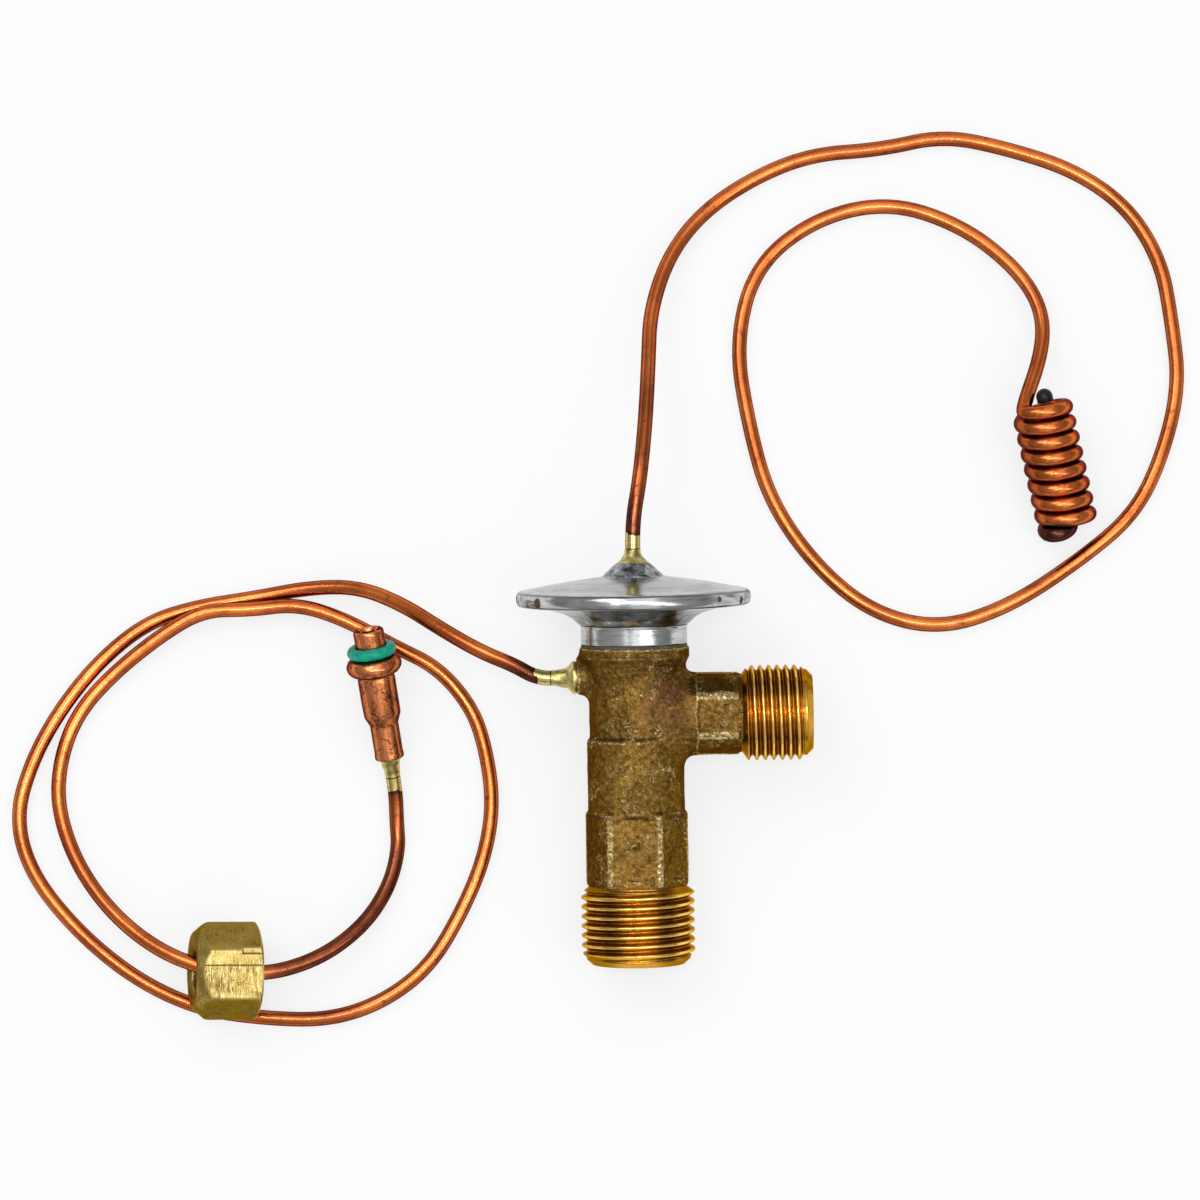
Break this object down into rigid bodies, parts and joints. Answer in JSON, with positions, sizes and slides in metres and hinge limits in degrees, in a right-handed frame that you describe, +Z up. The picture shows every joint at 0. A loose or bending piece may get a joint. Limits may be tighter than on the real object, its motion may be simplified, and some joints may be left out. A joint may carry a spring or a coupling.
{
  "type": "thermostatic expansion valve",
  "caption": "Angle-body thermostatic expansion valve in brass with a steel power head, a copper capillary ending in a sensing coil and an external equaliser tube with a union nut",
  "frame": {"origin": "on the bench surface, under the middle of the valve without its tubes", "axes": "+X along the inlet arm, +Y from the outlet towards the power head, +Z up from the bench on which the valve lies"},
  "size_m": [0.1989, 0.1506, 0.0385],
  "materials": {
    "forged_brass": "forged and machined",
    "pale_brass": "machined",
    "braze": "as brazed",
    "copper": "drawn, lightly stained",
    "zinc_steel": "zinc plated, light rust at the rim",
    "stainless": "machined",
    "dark_cap": "matt black",
    "green_rubber": "smooth",
    "black_rubber": "smooth",
    "gasket_fibre": "matt"
  },
  "bodies": {
    "valve": {"valve_body": "forged_brass", "valve_seat": "pale_brass", "superheat_spring": "stainless", "pin_seal": "black_rubber", "seal_retainer": "stainless", "head_gasket": "gasket_fibre", "head_collar": "zinc_steel", "lower_cup": "zinc_steel", "diaphragm": "stainless", "upper_cup": "zinc_steel", "capillary_boss": "zinc_steel", "capillary_braze": "braze", "inlet_strainer": "stainless", "equaliser_braze": "braze", "capillary_tube": "copper", "sensing_coil": "copper", "coil_end_seal": "dark_cap", "equaliser_tube": "copper", "end_fitting": "copper", "fitting_o_ring": "green_rubber", "fitting_braze": "braze"},
    "stroke": {"thrust_plate": "stainless", "push_pin": "stainless", "valve_ball": "stainless", "ball_carrier": "pale_brass"},
    "adjuster": {"adjusting_nut": "pale_brass"},
    "line_nut": {"union_nut": "pale_brass"}
  },
  "joints": [
    {"name": "valve_stroke", "type": "slide", "parent": "valve", "child": "stroke", "axis": [0, -0.9857, -0.1688], "range_m": [0, 0.0005], "stiffness_N_per_m": 8000, "deforming": ["superheat_spring"]},
    {"name": "superheat_adjust", "type": "hinge", "parent": "valve", "child": "adjuster", "pos_m": [-0.00495, -0.02479, 0.01044], "axis": [0, 0.9857, 0.1688], "range_deg": [-180, 180]},
    {"name": "line_nut_turn", "type": "hinge", "parent": "valve", "child": "line_nut", "pos_m": [-0.07373, -0.0336, 0.00862], "axis": [0.9759, 0, -0.2182], "continuous": true}
  ]
}
